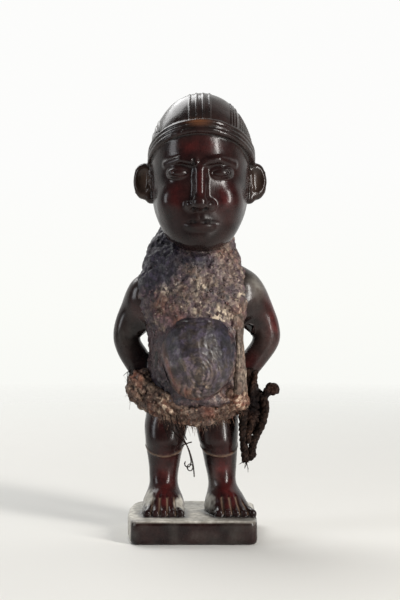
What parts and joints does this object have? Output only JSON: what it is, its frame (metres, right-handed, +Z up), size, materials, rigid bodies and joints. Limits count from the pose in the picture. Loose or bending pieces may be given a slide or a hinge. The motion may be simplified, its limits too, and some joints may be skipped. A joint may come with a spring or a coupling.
{
  "type": "carved wooden power figure",
  "caption": "Standing carved wooden figure with hands on hips, on a low plinth, with a crusted neck, a shell on the belly, a rolled cloth at the hips and hanging cord.",
  "frame": {"origin": "centre of the plinth's underside", "axes": "+Z up, the figure faces -Y, +X to the right of someone who faces it"},
  "size_m": [0.086, 0.0661, 0.2258],
  "materials": {
    "wood": "dark oiled, handled to a gloss",
    "shell": "dark ribbed shell under old varnish",
    "resin": "dark hardened resin",
    "crust": "rough crust of earth, resin and fibre",
    "fibre": "crusted plant fibre",
    "cloth": "rolled cloth under a dry crust",
    "cord": "dark twisted fibre"
  },
  "bodies": {
    "root": {"carved_figure": "wood", "belly_shell": "shell", "resin_bed": "resin", "neck_crust": "crust", "side_strap": "fibre", "waist_wrap": "cloth", "hip_knot": "cord", "long_cord": "cord", "short_cord": "cord", "long_thread": "cord", "short_thread": "cord"}
  },
  "joints": []
}
